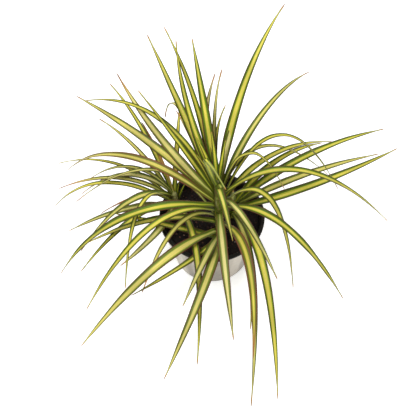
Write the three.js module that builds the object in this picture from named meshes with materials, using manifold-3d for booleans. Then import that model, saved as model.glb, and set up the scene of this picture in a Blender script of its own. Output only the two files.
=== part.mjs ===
/**
 * A potted dracaena: a light grey pot, the black nursery pot that hangs inside it, the soil,
 * three stems, and the striped strap leaves that leave each stem one above the other.
 *
 * Millimetres, +Z up. The origin is the middle of the pot's foot, on the surface it stands on.
 * Headings are in degrees, from +X towards +Y.
 */
import * as THREE from 'three';
import { mergeVertices } from 'three/addons/utils/BufferGeometryUtils.js';
import Module from 'manifold-3d';

const wasm = await Module();
wasm.setup();

// ---------------------------------------------------------------- driving dimensions

/** Clearance between two pieces that touch. */
const GAP = 0.3;

/** The outer pot: a tapered cup of thin wall. */
const POT = { height: 80.5, footRadius: 49, rimRadius: 64.5, wall: 1.6, floor: 2, footBevel: 1.2 };

/** The nursery pot: it hangs by its lip on the outer pot's rim. */
const LINER = {
  top: 84, bottom: 6, wall: 1.3, sideClearance: 1.2,
  lipRadius: 66, lipInnerRadius: 61.5, lipRound: 1,
  drains: 8, drainRadius: 4, drainCircle: 28, drillLength: 5.2, drillSides: 12,
};

/** The soil fills the nursery pot up to this height, a little higher at the middle. */
const SOIL = { edgeHeight: 73, middleHeight: 75, flatRadius: 39 };

const POT_SIDES = 64;
const STEM_SIDES = 14;

/** How far from its ends a stem starts to round off. */
const STEM_END = 3;

/**
 * What all leaves share. Channel is the channel's depth as a share of the width; baseWidth is the
 * width at the stem as a share of the full width, which is reached at the shoulder; the higher the
 * taper, the later the leaf narrows. Shoulder and bend are shares of the leaf's length.
 */
const LEAF = {
  channel: 0.17, thickness: 1.1, ringSpacing: 17, rootGap: 0.6,
  baseWidth: 0.5, shoulder: 0.3, taper: 2.3, bend: 0.4,
};

/**
 * The stems: foot and crown are points on the axis, in the soil and at the top. The leaves of a
 * stem are listed from the lowest to the highest. Each row holds
 *   height, heading, reach, tip height, rise, side, width, bend
 * where height is where the leaf leaves the stem, reach is the horizontal distance from there to
 * its tip, rise is how far its middle arches above the straight line between the two, and side is
 * how far it bows to the left. Bend, left out where it is LEAF.bend, is where along that line the
 * arch has its peak: 0 at the stem, 1 at the tip.
 */
const STEMS = [
  {
    name: 'stem_middle', foot: [13, -43.5, 58], crown: [5, -17, 186], footRadius: 6.5, crownRadius: 3,
    leaves: [
      [90, 167, 138, 98, 16, 9, 10],
      [93, 216, 132, 86, 18, 13, 8],
      [97, 249, 185, 60, 36, 11, 12],
      [101, 246, 110, 100, 25, 4, 9],
      [106, 218, 210, 50, 40, 2, 13],
      [118, 184, 165, 85, 28, 0, 9],
      [122, 283, 165, 80, 45, 14, 11],
      [126, 170, 179, 110, 46, -27, 6],
      [130, 214, 114, 50, 50, -7, 7],
      [137, 276, 151, 100, 32, -3, 11],
      [139, 212, 186, 70, 54, -8, 9],
      [143, 334, 170, 50, 54, 3, 10],
      [144, 85, 92, 220, 24, 8, 6],
      [146, 195, 199, 70, 50, -6, 12, 0.6],
      [148, 34, 173, 140, 32, 6, 8],
      [149, 159, 204, 110, 57, -1, 11, 0.6],
      [151, 324, 113, 60, 62, 26, 8],
      [151, 88, 110, 260, 30, 7, 6],
      [153, 12, 149, 130, 78, 30, 6, 0.5],
      [154, 145, 208, 200, 24, 5, 12],
      [157, 132, 180, 225, 14, 14, 11],
      [158, 310, 107, 110, 48, -7, 8],
      [159.5, 92, 94, 270, 12, 13, 9],
      [160.5, 137, 125, 250, 20, 6, 7],
      [161, 2, 212, 90, 60, 12, 9],
      [162.5, 27, 158, 100, 49, 24, 6],
      [164, 50, 168, 230, 44, 0, 9],
      [165, 144, 199, 190, 52, -9, 7],
      [167, 6, 79, 160, 50, 18, 5],
      [168, 287, 59, 150, 42, -5, 9],
      [168.5, 123, 145, 300, 28, 6, 10],
      [170.5, 62, 155, 330, 34, 6, 11],
      [172.3, 116, 136, 310, 28, -2, 8],
      [177, 114, 112, 310, 25, 12, 9],
      [176, 287, 33, 215, 66, -16, 6, -0.22],
      [183, 105, 108, 310, 25, 2, 11],
    ],
  },
  {
    name: 'stem_left', foot: [-44, 17, 43], crown: [-47, 15, 112], footRadius: 5.5, crownRadius: 3.5,
    leaves: [
      [84, 193, 138, 70, 18, 1, 9],
      [87, 228, 102, 60, 20, 16, 10],
      [90, 218, 145, 70, 30, 0, 8],
      [92, 183, 151, 90, 42, -4, 7, 0.6],
      [94, 278, 204, 50, 40, 15, 9],
      [96, 161, 159, 100, 40, 0, 5],
      [98, 241, 122, 60, 70, -11, 6],
      [101, 175, 147, 100, 32, -1, 7],
      [103, 138, 128, 150, 24, 1, 6],
      [106, 126, 135, 190, 28, 0, 7],
      [109, 83, 75, 200, 25, -1, 7],
    ],
  },
  {
    name: 'stem_right', foot: [22, 6, 42], crown: [25, 4, 106], footRadius: 5.5, crownRadius: 3.5,
    leaves: [
      [85, 278, 152, 60, 28, 9, 7],
      [88, 275, 236, 30, 50, 13, 9],
      [91, 19, 223, 120, 12, -15, 12],
      [93, 283, 231, 30, 62, 10, 11],
      [98, 19, 196, 120, 26, -8, 10],
      [101, 23, 206, 150, 27, 0, 11],
      [103, 33, 135, 130, 28, 1, 9],
    ],
  },
];

/** The finishes. */
const FINISHES = {
  pot: { color: 0xa39d92, roughness: 0.35, metalness: 0.6 },
  liner: { color: 0x17181a, roughness: 0.5 },
  soil: { color: 0x241a14, roughness: 0.95 },
  stem: { color: 0x7b6a4c, roughness: 0.8 },
  leaf: { color: 0x8a9a3c, roughness: 0.45 },
};

// ---------------------------------------------------------------- helpers

/** Turns a closed three.js geometry into a solid that can be cut. */
function toSolid(geometry) {
  const bare = geometry.clone();
  bare.deleteAttribute('normal');
  bare.deleteAttribute('uv');
  const merged = mergeVertices(bare, 1e-4);
  return new wasm.Manifold(new wasm.Mesh({
    numProp: 3,
    vertProperties: new Float32Array(merged.attributes.position.array),
    triVerts: new Uint32Array(merged.index.array),
  }));
}

/** Turns a solid back into a three.js geometry. */
function toGeometry(solid) {
  const mesh = solid.getMesh();
  const geometry = new THREE.BufferGeometry();
  geometry.setAttribute('position', new THREE.BufferAttribute(mesh.vertProperties, 3));
  geometry.setIndex(new THREE.BufferAttribute(mesh.triVerts, 1));
  geometry.computeVertexNormals();
  return geometry;
}

/** A body turned about +Z from a profile of [radius, height] pairs. */
function turned(profile, sides) {
  const points = profile.map(([radius, height]) => new THREE.Vector2(radius, height));
  return new THREE.LatheGeometry(points, sides).rotateX(Math.PI / 2);
}

/** A named piece with one of the finishes. */
function piece(name, geometry, finish) {
  const mesh = new THREE.Mesh(geometry, new THREE.MeshStandardMaterial(FINISHES[finish]));
  mesh.name = name;
  return mesh;
}

// ---------------------------------------------------------------- pot, nursery pot and soil

/** The outer pot's outer radius at a height. */
function potRadius(height) {
  return THREE.MathUtils.mapLinear(height, 0, POT.height, POT.footRadius, POT.rimRadius);
}

/** The nursery pot's outer radius at a height: it follows the outer pot's wall, inside it. */
function linerRadius(height) {
  return potRadius(height) - POT.wall - LINER.sideClearance;
}

function outerPot() {
  const { height, wall, floor, footBevel } = POT;
  return turned([
    [0, 0],
    [POT.footRadius - footBevel, 0],
    [potRadius(footBevel), footBevel],
    [POT.rimRadius, height],
    [POT.rimRadius - wall, height],
    [potRadius(floor) - wall, floor],
    [0, floor],
  ], POT_SIDES);
}

function nurseryPot() {
  const { top, bottom, wall, lipRadius, lipInnerRadius, lipRound } = LINER;
  const lipUnderside = POT.height + GAP;
  const innerFloor = bottom + wall;
  const shell = toSolid(turned([
    [0, bottom],
    [linerRadius(bottom), bottom],
    [linerRadius(lipUnderside), lipUnderside],
    [lipRadius - lipRound, lipUnderside],
    [lipRadius, lipUnderside + lipRound],
    [lipRadius, top - lipRound],
    [lipRadius - lipRound, top],
    [lipInnerRadius + lipRound, top],
    [lipInnerRadius, top - lipRound],
    [linerRadius(lipUnderside) - wall, lipUnderside],
    [linerRadius(innerFloor) - wall, innerFloor],
    [0, innerFloor],
  ], POT_SIDES));
  const { drainRadius, drillLength, drillSides } = LINER;
  const drain = new THREE.CylinderGeometry(drainRadius, drainRadius, drillLength, drillSides);
  drain.rotateX(Math.PI / 2);
  let cut = shell;
  for (let i = 0; i < LINER.drains; i += 1) {
    const angle = (i / LINER.drains) * 2 * Math.PI;
    const at = drain.clone().translate(
      LINER.drainCircle * Math.cos(angle),
      LINER.drainCircle * Math.sin(angle),
      bottom + wall / 2,
    );
    cut = cut.subtract(toSolid(at));
  }
  return toGeometry(cut);
}

/** The soil, with a socket for each stem. */
function soilBody() {
  const bottom = LINER.bottom + LINER.wall + GAP;
  const inside = (height) => linerRadius(height) - LINER.wall - GAP;
  let body = toSolid(turned([
    [0, bottom],
    [inside(bottom), bottom],
    [inside(SOIL.edgeHeight), SOIL.edgeHeight],
    [SOIL.flatRadius, SOIL.middleHeight],
    [0, SOIL.middleHeight],
  ], POT_SIDES));
  for (const stem of STEMS) {
    body = body.subtract(toSolid(stemBody(stem, GAP)));
  }
  return toGeometry(body);
}

// ---------------------------------------------------------------- stems and leaves

/** A stem: a cane that tapers along its own axis, rounded at both ends, grown by a margin. */
function stemBody(stem, margin = 0) {
  const foot = new THREE.Vector3(...stem.foot);
  const crown = new THREE.Vector3(...stem.crown);
  const length = foot.distanceTo(crown);
  const { footRadius, crownRadius } = stem;
  const profile = [
    [0, -margin],
    [footRadius - STEM_END / 2 + margin, -margin],
    [footRadius + margin, STEM_END],
    [crownRadius + margin, length - STEM_END],
    [crownRadius / 2 + margin, length + margin],
    [0, length + margin],
  ];
  const points = profile.map(([radius, along]) => new THREE.Vector2(radius, along));
  const direction = crown.clone().sub(foot).normalize();
  const turn = new THREE.Quaternion().setFromUnitVectors(new THREE.Vector3(0, 1, 0), direction);
  return new THREE.LatheGeometry(points, STEM_SIDES)
    .applyQuaternion(turn)
    .translate(foot.x, foot.y, foot.z);
}

/** The point of a stem's axis at a height, and its radius there. */
function stemAt(stem, height) {
  const [footHeight, crownHeight] = [stem.foot[2], stem.crown[2]];
  const along = (height - footHeight) / (crownHeight - footHeight);
  const foot = new THREE.Vector3(...stem.foot);
  const point = foot.lerp(new THREE.Vector3(...stem.crown), along);
  return { point, radius: THREE.MathUtils.lerp(stem.footRadius, stem.crownRadius, along) };
}

/** How wide a leaf is along its length, from 0 at the stem to 1 at the tip. */
function leafWidth(width, along) {
  const opened = THREE.MathUtils.smoothstep(along, 0, LEAF.shoulder);
  const grown = THREE.MathUtils.lerp(LEAF.baseWidth, 1, opened);
  return width * grown * (1 - along ** LEAF.taper);
}

/**
 * A leaf: a shallow channel swept along a curve to a single point at the tip. Each section has
 * four corners: left edge, top of the midrib, right edge, underside of the midrib.
 */
function leafBody(stem, row) {
  const [height, heading, reach, tipHeight, rise, side, width, bend = LEAF.bend] = row;
  const angle = THREE.MathUtils.degToRad(heading);
  const out = new THREE.Vector3(Math.cos(angle), Math.sin(angle), 0);
  const left = new THREE.Vector3(-out.y, out.x, 0);
  const { point, radius } = stemAt(stem, height);
  const root = point.clone().addScaledVector(out, radius + LEAF.thickness / 2 + LEAF.rootGap);
  const tip = point.clone().addScaledVector(out, reach).setZ(tipHeight);
  const control = root.clone().lerp(tip, bend)
    .addScaledVector(left, 2 * side)
    .add(new THREE.Vector3(0, 0, 2 * rise));
  const spine = new THREE.QuadraticBezierCurve3(root, control, tip);
  const rings = Math.round(spine.getLength() / LEAF.ringSpacing);

  const positions = [];
  for (let i = 0; i < rings; i += 1) {
    const along = i / rings;
    const centre = spine.getPointAt(along);
    const tangent = spine.getTangentAt(along);
    const across = left.clone().addScaledVector(tangent, -left.dot(tangent)).normalize();
    const up = tangent.clone().cross(across);
    const wide = leafWidth(width, along);
    const corner = (sideways, upward) => centre.clone()
      .addScaledVector(across, sideways)
      .addScaledVector(up, upward);
    positions.push(
      ...corner(wide / 2, LEAF.channel * wide),
      ...corner(0, LEAF.thickness / 2),
      ...corner(-wide / 2, LEAF.channel * wide),
      ...corner(0, -LEAF.thickness / 2),
    );
  }
  positions.push(...tip);

  const index = [0, 3, 1, 1, 3, 2];
  for (let i = 0; i < rings - 1; i += 1) {
    for (let k = 0; k < 4; k += 1) {
      const a = 4 * i + k;
      const b = 4 * i + ((k + 1) % 4);
      index.push(a, b, a + 4, b, b + 4, a + 4);
    }
  }
  const last = 4 * (rings - 1);
  for (let k = 0; k < 4; k += 1) {
    index.push(last + k, last + ((k + 1) % 4), 4 * rings);
  }
  const geometry = new THREE.BufferGeometry();
  geometry.setAttribute('position', new THREE.Float32BufferAttribute(positions, 3));
  geometry.setIndex(index);
  geometry.computeVertexNormals();
  return geometry;
}

/** A stem with all its leaves. */
function plantlet(stem) {
  const branch = new THREE.Group();
  branch.add(piece(stem.name, stemBody(stem), 'stem'));
  stem.leaves.forEach((row, i) => {
    const name = `${stem.name.replace('stem', 'leaf')}_${String(i + 1).padStart(2, '0')}`;
    branch.add(piece(name, leafBody(stem, row), 'leaf'));
  });
  return branch;
}

// ---------------------------------------------------------------- the whole plant

const group = new THREE.Group();
group.add(piece('outer_pot', outerPot(), 'pot'));
group.add(piece('nursery_pot', nurseryPot(), 'liner'));
group.add(piece('soil', soilBody(), 'soil'));
for (const stem of STEMS) {
  group.add(plantlet(stem));
}

export default group;
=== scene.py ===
# %% [markdown]
# # A potted dracaena
#
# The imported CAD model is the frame: it says where every leaf, stem and pot is. This lesson
# gives each of them its real surface. A leaf in the frame is a channel of a few flat rings; here
# it becomes a fine curved blade that clasps its stem, with cream stripes and red margins.
# Lengths are in metres; MM turns millimetres into metres.

# %% The frame
import math

import bpy
import numpy as np
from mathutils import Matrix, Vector


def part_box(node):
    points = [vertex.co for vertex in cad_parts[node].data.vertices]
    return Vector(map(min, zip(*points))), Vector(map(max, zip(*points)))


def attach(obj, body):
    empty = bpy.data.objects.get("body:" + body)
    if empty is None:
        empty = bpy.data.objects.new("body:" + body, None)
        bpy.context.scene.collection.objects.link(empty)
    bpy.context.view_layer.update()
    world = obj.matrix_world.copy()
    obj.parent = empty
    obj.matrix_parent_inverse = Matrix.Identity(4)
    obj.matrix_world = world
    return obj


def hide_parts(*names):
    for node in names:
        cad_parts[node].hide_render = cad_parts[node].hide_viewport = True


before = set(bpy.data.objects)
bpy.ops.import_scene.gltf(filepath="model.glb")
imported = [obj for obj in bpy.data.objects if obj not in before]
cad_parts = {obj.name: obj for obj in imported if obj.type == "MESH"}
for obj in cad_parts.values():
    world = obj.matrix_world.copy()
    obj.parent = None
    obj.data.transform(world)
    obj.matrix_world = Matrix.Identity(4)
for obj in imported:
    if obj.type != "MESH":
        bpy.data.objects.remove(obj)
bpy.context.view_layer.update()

MM = 0.001
scene = bpy.context.scene

# %% [markdown]
# ## Camera
#
# The plant is seen steeply from above the front. A long lens from about a metre away keeps the
# near leaves from growing too large. The aim is given from the rim of the pot, so that it stays
# right if the pot's place changes.

# %% Camera
CAMERA = {"elevation": 57.4, "distance": 1.1, "lens": 76.15}
AIM_FROM_RIM = Vector((-5, 7.4, 4.7)) * MM

rim_low, rim_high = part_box("nursery_pot")
rim_middle = Vector(((rim_low.x + rim_high.x) / 2, (rim_low.y + rim_high.y) / 2, rim_high.z))
aim = rim_middle + AIM_FROM_RIM
tilt = math.radians(CAMERA["elevation"])
towards = Vector((0, math.cos(tilt), -math.sin(tilt)))

camera_data = bpy.data.cameras.new("Camera")
camera_data.lens = CAMERA["lens"]
camera = bpy.data.objects.new("Camera", camera_data)
camera.location = aim - towards * CAMERA["distance"]
camera.rotation_euler = (math.pi / 2 - tilt, 0, 0)
scene.collection.objects.link(camera)
scene.camera = camera
print("camera at", tuple(round(v, 3) for v in camera.location))

# %% [markdown]
# ## Floor and light
#
# The plant stands on white paper under a big soft lamp, with a little light from all round.
# The paper gives off a little light of its own, as a back-lit sheet does, which keeps the
# shadows faint and puts some light on the leaves from below.

# %% Floor and light
PAPER = {"side": 8.0, "white": 0.93, "glow": 0.46}
WORLD_STRENGTH = 0.38
# Each lamp: place, what it gives in watts, and its side.
LAMPS = {
    "Key": ((-0.45, -0.45, 1.5), 18.0, 0.5),
    "Fill": ((0.95, -0.55, 1.0), 4.0, 1.0),
    "Back": ((0.2, 1.0, 0.9), 4.5, 0.8),
}


def new_material(name):
    """An empty node material, its tree, and its Principled BSDF already joined to the output."""
    material = bpy.data.materials.new(name)
    material.use_nodes = True
    tree = material.node_tree
    return material, tree, tree.nodes["Principled BSDF"]


def lamp(name, place, watts, side):
    """A square lamp at a place, which faces the plant."""
    data = bpy.data.lights.new(name, "AREA")
    data.energy, data.size = watts, side
    made = bpy.data.objects.new(name, data)
    made.location = place
    made.rotation_euler = (aim - Vector(place)).to_track_quat("-Z", "Y").to_euler()
    scene.collection.objects.link(made)


paper, paper_tree, paper_skin = new_material("Paper")
paper_skin.inputs["Base Color"].default_value = (PAPER["white"],) * 3 + (1,)
paper_skin.inputs["Roughness"].default_value = 0.9
paper_skin.inputs["Emission Color"].default_value = (1, 1, 1, 1)
paper_skin.inputs["Emission Strength"].default_value = PAPER["glow"]
half = PAPER["side"] / 2
floor_mesh = bpy.data.meshes.new("Floor")
floor_mesh.from_pydata(
    [(-half, -half, 0), (half, -half, 0), (half, half, 0), (-half, half, 0)], [], [(0, 1, 2, 3)]
)
floor_mesh.materials.append(paper)
floor = bpy.data.objects.new("Floor", floor_mesh)
scene.collection.objects.link(floor)

for lamp_name, (place, watts, side) in LAMPS.items():
    lamp(lamp_name, place, watts, side)
world = bpy.data.worlds.new("World")
world.use_nodes = True
world.node_tree.nodes["Background"].inputs["Color"].default_value = (1, 1, 1, 1)
world.node_tree.nodes["Background"].inputs["Strength"].default_value = WORLD_STRENGTH
scene.world = world
scene.view_settings.view_transform = "Standard"
print("lamps", list(LAMPS))

# %% [markdown]
# ## Surfaces from grids
#
# Everything here is a grid of points: rows along the piece and columns round it. One helper
# joins the grid into a closed skin, and a second puts the skin into the scene, hides the CAD
# node it stands for, and stores the numbers that its material reads.

# %% Grid helpers


def smoothstep(x, low, high):
    """0 below low, 1 above high, and an S-shaped rise (3t^2 - 2t^3) in between."""
    t = np.clip((x - low) / (high - low), 0, 1)
    return t * t * (3 - 2 * t)


def unit(vectors):
    """Each vector divided by its own length."""
    return vectors / np.maximum(np.linalg.norm(vectors, axis=-1, keepdims=True), 1e-12)


def tube_faces(rows, columns):
    """Quads between each row of points and the next; each row closes on itself."""
    row, column = np.mgrid[0 : rows - 1, 0:columns]
    after = (column + 1) % columns
    a, b = row * columns + column, row * columns + after
    return np.stack([a, b, b + columns, a + columns], -1).reshape(-1, 4)


def fan_faces(ring, middle):
    """Triangles from a ring of points to one point in the middle."""
    return np.stack([ring, np.roll(ring, -1), np.full_like(ring, middle)], -1)


def closed_tube(rows, columns):
    """The faces of a tube whose ends close on two single points, kept after its rows."""
    count = rows * columns
    return [
        tube_faces(rows, columns),
        fan_faces(np.arange(columns)[::-1], count),
        fan_faces(np.arange(count - columns, count), count + 1),
    ]


def volume_sign(points, faces):
    """Positive where the skin's faces turn outwards: the sum of a . (b x c) over its triangles."""
    total = 0.0
    for face in faces:
        a, b, c = points[face[:, 0]], points[face[:, 1]], points[face[:, 2]]
        total += np.sum(a * np.cross(b, c))
        if face.shape[1] == 4:
            total += np.sum(a * np.cross(c, points[face[:, 3]]))
    return total


def add_piece(name, points, faces, material, node=None, values=None, flat=False):
    """A finished piece in the scene.

    faces is a list of index arrays, of quads or triangles; they are turned over if the skin is
    inside out. values holds one number, or one vector, for each point, for the material to read.
    """
    points = np.asarray(points, float)
    centred = points - points.mean(0)
    if volume_sign(centred, faces) < 0:
        faces = [face[:, ::-1] for face in faces]
    mesh = bpy.data.meshes.new(name)
    mesh.from_pydata(points.tolist(), [], [f for face in faces for f in face.tolist()])
    for key, value in (values or {}).items():
        value = np.asarray(value, np.float32)
        kind, field = ("FLOAT", "value") if value.ndim == 1 else ("FLOAT_VECTOR", "vector")
        mesh.attributes.new(key, kind, "POINT").data.foreach_set(field, value.ravel())
    if not flat:
        mesh.shade_smooth()
    mesh.materials.append(material)
    piece = bpy.data.objects.new(name, mesh)
    scene.collection.objects.link(piece)
    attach(piece, "root")
    if node:
        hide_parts(node)
    return piece


def revolve(profile, sides):
    """A closed skin of revolution about Z.

    profile is (radius, height) pairs that start and end on the axis. Each inner pair becomes a
    ring of points at radius (cos a, sin a); the first and last pair are single points.
    """
    profile = np.asarray(profile, float)
    inner = profile[1:-1]
    angle = np.linspace(0, 2 * math.pi, sides, endpoint=False)
    radius, height = inner[:, :1], inner[:, 1:]
    rings = np.stack([radius * np.cos(angle), radius * np.sin(angle), height + 0 * angle], -1)
    points = np.vstack([rings.reshape(-1, 3), [0, 0, profile[0, 1]], [0, 0, profile[-1, 1]]])
    return points, closed_tube(len(inner), sides)


def rounded(corners, steps=4):
    """A profile with its corners rounded.

    Each corner is (radius, height, round). A round of 0 stays sharp. Otherwise the corner is cut
    back by its round on both sides, and a quadratic curve joins the two cuts.
    """
    corners = np.asarray(corners, float)
    out = [corners[0, :2]]
    for before, here, after in zip(corners, corners[1:], corners[2:]):
        size = here[2]
        if size == 0:
            out.append(here[:2])
            continue
        start = here[:2] + unit(before[:2] - here[:2]) * size
        end = here[:2] + unit(after[:2] - here[:2]) * size
        for t in np.linspace(0, 1, steps + 1):
            out.append((1 - t) ** 2 * start + 2 * t * (1 - t) * here[:2] + t * t * end)
    out.append(corners[-1, :2])
    return np.array(out)


print("grid helpers ready")

# %% [markdown]
# ## Node helpers and shared effects
#
# Plants and brushed metal have one thing in common: fine streaks that run along one direction.
# Soil, plastic and bark share another: specks of two tones. Each effect is one node group with
# its own inputs, and every material that needs it holds its own copy of the values.

# %% Node helpers


def feed(tree, socket, value):
    """A value, or another node's output, goes into a socket."""
    if isinstance(value, bpy.types.NodeSocket):
        tree.links.new(value, socket)
    elif isinstance(value, tuple) and len(value) == 3 and socket.type == "RGBA":
        socket.default_value = (*value, 1)
    else:
        socket.default_value = value


def add_node(tree, kind, inputs=None, **settings):
    """A shader node with its settings, and its named or numbered inputs fed."""
    made = tree.nodes.new(kind)
    for key, value in settings.items():
        setattr(made, key, value)
    for key, value in (inputs or {}).items():
        feed(tree, made.inputs[key], value)
    return made


def maths(tree, operation, *values, clamp=False):
    """The result of one Math node."""
    return add_node(
        tree, "ShaderNodeMath", dict(enumerate(values)), operation=operation, use_clamp=clamp
    ).outputs[0]


def mixed(tree, factor, first, second):
    """The colour between two colours, by a factor."""
    inputs = {0: factor, 6: first, 7: second}
    return add_node(tree, "ShaderNodeMix", inputs, data_type="RGBA").outputs[2]


def layer(tree, colour, mask, strength, over):
    """A colour with another laid over it where the mask is, as strongly as given."""
    return mixed(tree, maths(tree, "MULTIPLY", mask, strength), colour, over)


def between(tree, value, low, high, to_low=0.0, to_high=1.0):
    """A value's share of the way from low to high, as an S-shaped rise from to_low to to_high."""
    made = add_node(
        tree,
        "ShaderNodeMapRange",
        {0: value, 1: low, 2: high, 3: to_low, 4: to_high},
        interpolation_type="SMOOTHSTEP",
    )
    return made.outputs[0]


def ramp(tree, factor, stops):
    """A colour ramp: stops are (position, colour) pairs."""
    made = add_node(tree, "ShaderNodeValToRGB", {0: factor})
    elements = made.color_ramp.elements
    while len(elements) < len(stops):
        elements.new(0.5)
    for element, (position, colour) in zip(elements, stops):
        element.position = position
        element.color = (*colour, 1)
    return made.outputs[0]


def attribute(tree, name):
    """A number or vector that the mesh keeps for each point."""
    return add_node(tree, "ShaderNodeAttribute", attribute_name=name)


def split(tree, vector):
    """The three parts of a vector."""
    return add_node(tree, "ShaderNodeSeparateXYZ", {0: vector}).outputs


def object_place(tree):
    """Where a point lies in its object's own coordinates."""
    return add_node(tree, "ShaderNodeTexCoord").outputs["Object"]


def noise(tree, where, scale, detail):
    """Soft noise from 0 to 1."""
    inputs = {"Vector": where, "Scale": scale, "Detail": detail}
    return add_node(tree, "ShaderNodeTexNoise", inputs).outputs[0]


def paint(tree, skin, colour, roughness):
    """The colour and the roughness of a finish."""
    tree.links.new(colour, skin.inputs["Base Color"])
    tree.links.new(roughness, skin.inputs["Roughness"])


def bump(tree, skin, height, strength, distance):
    """Small relief from a height, on the shader's normal."""
    inputs = {"Height": height, "Strength": strength, "Distance": distance}
    tree.links.new(add_node(tree, "ShaderNodeBump", inputs).outputs[0], skin.inputs["Normal"])


def effect_group(name, inputs):
    """A new node group: inputs gives each input's name and kind, and its output is a mask."""
    tree = bpy.data.node_groups.new(name, "ShaderNodeTree")
    for label, kind in inputs.items():
        tree.interface.new_socket(label, in_out="INPUT", socket_type=f"NodeSocket{kind}")
    tree.interface.new_socket("Mask", in_out="OUTPUT", socket_type="NodeSocketFloat")
    return tree, tree.nodes.new("NodeGroupInput").outputs, tree.nodes.new("NodeGroupOutput")


def use_group(tree, group, inputs):
    """A node group placed in a material, with its inputs fed; gives its output."""
    made = tree.nodes.new("ShaderNodeGroup")
    made.node_tree = group
    for key, value in inputs.items():
        feed(tree, made.inputs[key], value)
    return made.outputs[0]


# Streaks: noise on a place that is squeezed across and stretched along, so that its spots
# become lines. A second, finer noise breaks the lines up.
STREAK_INPUTS = ("Across", "Along", "Seed", "Lines", "Length")
SEED_STEP = 37.0
STREAKS, given, result = effect_group("Streaks", dict.fromkeys(STREAK_INPUTS, "Float"))
stretched = add_node(
    STREAKS,
    "ShaderNodeCombineXYZ",
    {
        0: maths(STREAKS, "MULTIPLY", given["Across"], given["Lines"]),
        1: maths(STREAKS, "DIVIDE", given["Along"], given["Length"]),
        2: maths(STREAKS, "MULTIPLY", given["Seed"], SEED_STEP),
    },
).outputs[0]
wide_lines = maths(STREAKS, "MULTIPLY", noise(STREAKS, stretched, 1.0, 1.0), 0.55)
fine_lines = noise(STREAKS, stretched, 2.7, 3.0)
streak_sum = maths(STREAKS, "MULTIPLY_ADD", fine_lines, 0.45, wide_lines)
STREAKS.links.new(between(STREAKS, streak_sum, 0.3, 0.7), result.inputs[0])

# Specks: the cells of a Voronoi pattern, each with its own shade; only the brightest few show.
SPECKS, given, result = effect_group(
    "Specks", {"Vector": "Vector", "Scale": "Float", "Share": "Float"}
)
cell_inputs = {"Vector": given["Vector"], "Scale": given["Scale"]}
cells = add_node(SPECKS, "ShaderNodeTexVoronoi", cell_inputs)
cell_shade = split(SPECKS, cells.outputs["Color"])[0]
chosen = maths(SPECKS, "LESS_THAN", cell_shade, given["Share"])
core = between(SPECKS, cells.outputs["Distance"], 0.15, 0.4, 1.0, 0.0)
SPECKS.links.new(maths(SPECKS, "MULTIPLY", chosen, core), result.inputs[0])


def streak_mask(tree, *values):
    """A mask of streaks, from a value for each of STREAK_INPUTS."""
    return use_group(tree, STREAKS, dict(zip(STREAK_INPUTS, values)))


def speck_mask(tree, where, scale, share):
    """A mask of specks, in that share of the cells."""
    return use_group(tree, SPECKS, {"Vector": where, "Scale": scale, "Share": share})


print("groups", [g.name for g in bpy.data.node_groups])

# %% [markdown]
# ## The leaf's finish
#
# Across a leaf of this kind runs a cream-yellow band, then green on both sides that gets darker
# outwards, and a thin dark red margin. The bands are drawn out of fine lines, as the colour lies
# in the leaf's long cells. Near the stem the band narrows into green, the tip dries to tan, and
# the underside is greyer. The pattern has to follow the blade, so the mesh carries three vectors:
# blade (across, metres along, share along), look (pale, blush, dry) and trait (seed, band
# width, underside).

# %% Leaf finish
BANDS = [
    (0.00, (0.74, 0.61, 0.10)),
    (0.27, (0.69, 0.58, 0.04)),
    (0.36, (0.36, 0.41, 0.014)),
    (0.44, (0.095, 0.185, 0.003)),
    (0.62, (0.028, 0.080, 0.002)),
    (0.86, (0.016, 0.036, 0.002)),
    (0.91, (0.050, 0.012, 0.007)),
    (1.00, (0.075, 0.016, 0.009)),
]
PALE = (0.80, 0.69, 0.33)
BLUSH = (0.36, 0.10, 0.06)
BASE_GREEN = (0.11, 0.17, 0.006)
THREAD_LIGHT = (0.50, 0.55, 0.06)
SHEATH = (0.44, 0.42, 0.11)
TIP_STOPS = [(0.0, (0.50, 0.36, 0.09)), (0.5, (0.42, 0.20, 0.05)), (1.0, (0.20, 0.09, 0.04))]
UNDER = (0.32, 0.37, 0.11)


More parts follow.
